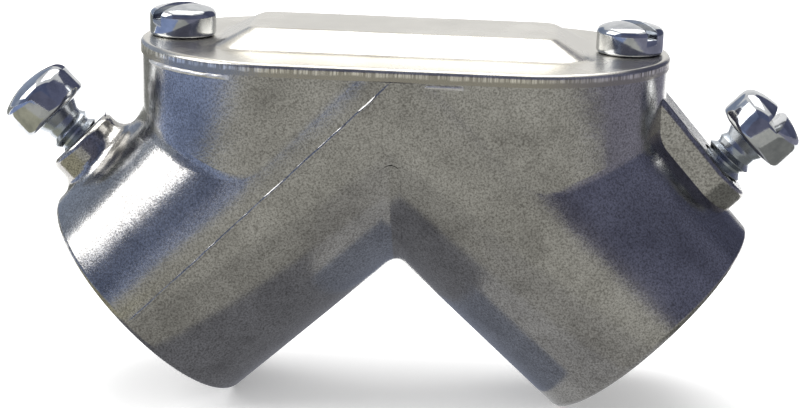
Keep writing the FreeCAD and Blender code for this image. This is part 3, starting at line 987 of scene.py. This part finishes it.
@dataclass(frozen=True)
class Card:
    """A plain card that glows where no lamp is, seen only in reflections: a painted reflection.
    Without an aim it lies flat and faces up.
    """

    name: str
    centre: tuple
    size: tuple
    code: str
    aim: tuple | None = None

    def build(self) -> None:
        """Make the card."""
        shape = bmesh.new()
        bmesh.ops.create_grid(shape, x_segments=1, y_segments=1, size=0.5)
        facing = Vector((0, 0, 1))
        if self.aim is not None:
            facing = Vector(self.aim) - Vector(self.centre)
        turn = facing.to_track_quat("Z", "Y").to_matrix().to_4x4()
        matrix = Matrix.Translation(self.centre) @ turn @ Matrix.Diagonal((*self.size, 1, 1))
        bmesh.ops.transform(shape, matrix=matrix, verts=shape.verts)
        card = new_piece(self.name, shape)
        shader = Shader(self.name, {})
        # The card's glow is a painted reflection; the cards under the object are painted shade.
        glow = shader.add("ShaderNodeEmission", {"Color": linear(self.code), "Strength": 1.0})
        shader.show(glow.outputs[0])
        dress(card, shader.material)
        card.visible_camera = False
        card.visible_diffuse = False
        card.visible_transmission = False
        card.visible_shadow = False
        card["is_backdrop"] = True


@dataclass
class Studio:
    """White floor and background, two soft lamps, glowing cards of painted reflection and painted
    shade that reflections see, and the camera.
    """

    lowest: float
    floor_gap: float = 0.02 * MM
    floor_half: float = 4.0
    floor_hex: str = "#FAFAFA"
    floor_glow: float = 0.25
    daylight: float = 0.75
    camera_place: tuple = (14.08 * MM, -197.33 * MM, 34.6 * MM)
    pitch_deg: float = -13.58
    yaw_deg: float = 4.08
    roll_deg: float = 1.70
    sensor_mm: float = 36.0
    lens_mm: float = 104.445
    clip_start: float = 0.01
    clip_end: float = 50.0
    middle: tuple = (0.0, 0.0, -0.013)

    def camera(self) -> None:
        """Place the camera."""
        data = bpy.data.cameras.new("camera")
        data.sensor_width = self.sensor_mm
        data.lens = self.lens_mm
        data.clip_start = self.clip_start
        data.clip_end = self.clip_end
        camera = bpy.data.objects.new("camera", data)
        turn = (Matrix.Rotation(math.radians(self.yaw_deg), 4, "Z")
                @ Matrix.Rotation(math.radians(90.0 + self.pitch_deg), 4, "X")
                @ Matrix.Rotation(math.radians(self.roll_deg), 4, "Z"))
        camera.matrix_world = Matrix.Translation(self.camera_place) @ turn
        bpy.context.scene.collection.objects.link(camera)
        bpy.context.scene.camera = camera

    def world(self) -> None:
        """White where the camera or a reflection looks, plain grey daylight otherwise."""
        world = bpy.data.worlds.new("studio")
        bpy.context.scene.world = world
        graph = NodeGraph(world)
        strength = graph.add("ShaderNodeMapRange", {"Value": graph.looked_at(),
                                                    "To Min": self.daylight, "To Max": 1.0})
        background = graph.add("ShaderNodeBackground", {"Color": linear("#FFFFFF"),
                                                        "Strength": strength.outputs[0]})
        graph.add("ShaderNodeOutputWorld", {"Surface": background.outputs[0]})

    def floor(self) -> None:
        """A white floor that keeps the object's shadow."""
        shape = bmesh.new()
        bmesh.ops.create_grid(shape, x_segments=1, y_segments=1, size=self.floor_half)
        bmesh.ops.translate(shape, vec=(0, 0, self.lowest - self.floor_gap), verts=shape.verts)
        floor = new_piece("floor", shape)
        shader = Shader("white_floor", {"Base Color": linear(self.floor_hex), "Roughness": 0.9,
                                        "Specular IOR Level": 0.0})
        strength = shader.add("ShaderNodeMath", {0: shader.looked_at(), 1: self.floor_glow},
                              operation="MULTIPLY")
        glow = shader.add("ShaderNodeEmission", {"Color": linear("#FFFFFF"),
                                                 "Strength": strength.outputs[0]})
        both = shader.add("ShaderNodeAddShader", {0: shader.surface.outputs[0],
                                                  1: glow.outputs[0]})
        shader.show(both.outputs[0])
        dress(floor, shader.material)
        floor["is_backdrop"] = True

    def lamp(self, name: str, place: tuple, size: tuple, watts: float) -> None:
        """A rectangular soft lamp that faces the object's middle.

        Args:
            name: The lamp's name.
            place: Where it stands.
            size: Its width and height.
            watts: Its power.
        """
        data = bpy.data.lights.new(name, "AREA")
        data.shape = "RECTANGLE"
        data.size, data.size_y = size
        data.energy = watts
        lamp = bpy.data.objects.new(name, data)
        facing = Vector(self.middle) - Vector(place)
        turn = facing.to_track_quat("-Z", "Y").to_matrix().to_4x4()
        lamp.matrix_world = Matrix.Translation(place) @ turn
        bpy.context.scene.collection.objects.link(lamp)

    def floor_cards(self) -> list[Card]:
        """List the cards that lie on the floor: painted shade under the object and painted
        reflections of the floor round it.

        Returns:
            The cards. Where two overlap, the upper one lies a small step higher.
        """
        far = self.lowest - 0.5 * self.floor_gap
        near = self.lowest - 0.25 * self.floor_gap
        step = 0.05 * self.floor_gap
        return [
            # Painted shade: the floor in the object's own shadow, as the undersides of the legs
            # reflect it.
            Card("under_left_flag", (-0.016, 0.001, near), (0.032, 0.038), "#868890"),
            Card("under_middle_flag", (0.006, 0.006, near + step), (0.013, 0.032), "#8A90A0"),
            Card("under_right_flag", (0.016, 0.001, near), (0.032, 0.038), "#BEBFC1"),
            Card("left_shade_flag", (-0.016, -0.0265, near), (0.032, 0.017), "#B2B2AE"),
            Card("right_shade_flag", (0.016, -0.0265, near), (0.032, 0.017), "#B6B6B4"),
            Card("left_near_flag", (-0.0585, -0.024, near), (0.053, 0.056), "#BDBBA6"),
            Card("right_near_flag", (0.0585, -0.008, near), (0.053, 0.07), "#8C8D8A"),
            Card("front_floor_flag", (0.0125, -0.3425, far + step), (0.195, 0.615), "#C9C9C3"),
            Card("left_floor_flag", (-0.385, -0.26, far), (0.60, 0.60), "#9FB1DC"),
            Card("right_floor_flag", (0.485, -0.30, far), (0.80, 1.1), "#9696A8"),
            Card("left_back_floor_flag", (-0.385, 0.44, far), (0.60, 0.78), "#989A96"),
            Card("right_back_floor_flag", (0.465, 0.64, far), (0.80, 0.76), "#7E8088"),
        ]

    def standing_cards(self) -> list[Card]:
        """List the cards that stand round the object: painted reflections of a room in bluish greys,
        the darkest behind it.

        Returns:
            The cards, each aimed at the object or a little over it.
        """
        return [
            Card("front_flag", (0.0, -0.75, 0.14), (0.9, 0.45), "#6E7086", (0, 0, 0.1)),
            Card("front_high_flag", (0.0, -0.70, 0.60), (1.6, 0.7), "#5E6684", (0, 0, 0)),
            Card("left_front_flag", (-0.72, -0.55, 0.32), (0.9, 0.9), "#7884A4", (0, 0, 0.05)),
            Card("left_flag", (-0.95, 0.05, 0.34), (1.1, 1.0), "#ACB6C8", (0, 0, 0.05)),
            Card("right_flag", (0.7, -0.30, 0.28), (1.5, 1.1), "#70748E", (0, 0, 0.1)),
            Card("left_back_flag", (-0.66, 0.56, 0.26), (0.9, 0.55), "#9CA8BE", (0, 0, 0)),
            Card("right_back_flag", (0.62, 0.55, 0.35), (0.9, 0.9), "#5C6078", (0, 0, 0.05)),
        ]

    def build(self) -> None:
        """Set up the whole studio."""
        bpy.context.scene.view_settings.view_transform = "Standard"
        self.camera()
        self.world()
        self.floor()
        self.lamp("key", (-0.46, -0.13, 0.325), (0.40, 0.38), 2.1)
        self.lamp("top", (0.0, 0.15, 0.60), (0.5, 0.6), 3.3)
        for card in self.floor_cards() + self.standing_cards():
            card.build()
        LOG.info("set up the studio")


def main() -> None:
    """Dress the frame, build the pieces and set up the studio."""
    logging.basicConfig(level=logging.INFO, format="%(name)s: %(message)s")
    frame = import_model()
    cad_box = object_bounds()
    nodes = frame["nodes"]

    zinc = CastZinc().build()
    # Lighter zinc for the flash and the burr: partly their fresh metal's own tone, partly a painted
    # highlight.
    torn = CastZinc(name="flash_zinc_painted_highlight", pits=((0.32, "#D8D6D2"), (0.6, "#FFFFFF")),
                    drift=Drift(tones=((0.3, "#D4D2CE"), (0.5, "#E4E2DE"), (0.72, "#F0EEEA")),
                                size_mm=5.0, detail=4.0, fineness=0.62, smoothest=0.4,
                                roughest=0.5)).build()
    dress(nodes["elbow_body"], zinc)
    Casting(zinc, torn).build()
    dress(nodes["access_cover"], PlatedSheet().build())
    LOG.info("dressed the casting and the cover")

    plate = BrightPlate().build()
    steel = BrightPlate(name="zinc_plated_thread",
                        drift=Drift(tones=((0.3, "#A4A7AB"), (0.6, "#A9B0B8")), size_mm=1.5,
                                    detail=3.0, fineness=0.6, smoothest=0.24,
                                    roughest=0.3)).build()
    CoverScrews(plate, steel).build()
    SetScrews(plate, steel).build()

    Studio(lowest=cad_box[0][2]).build()


if __name__ == "__main__":
    main()
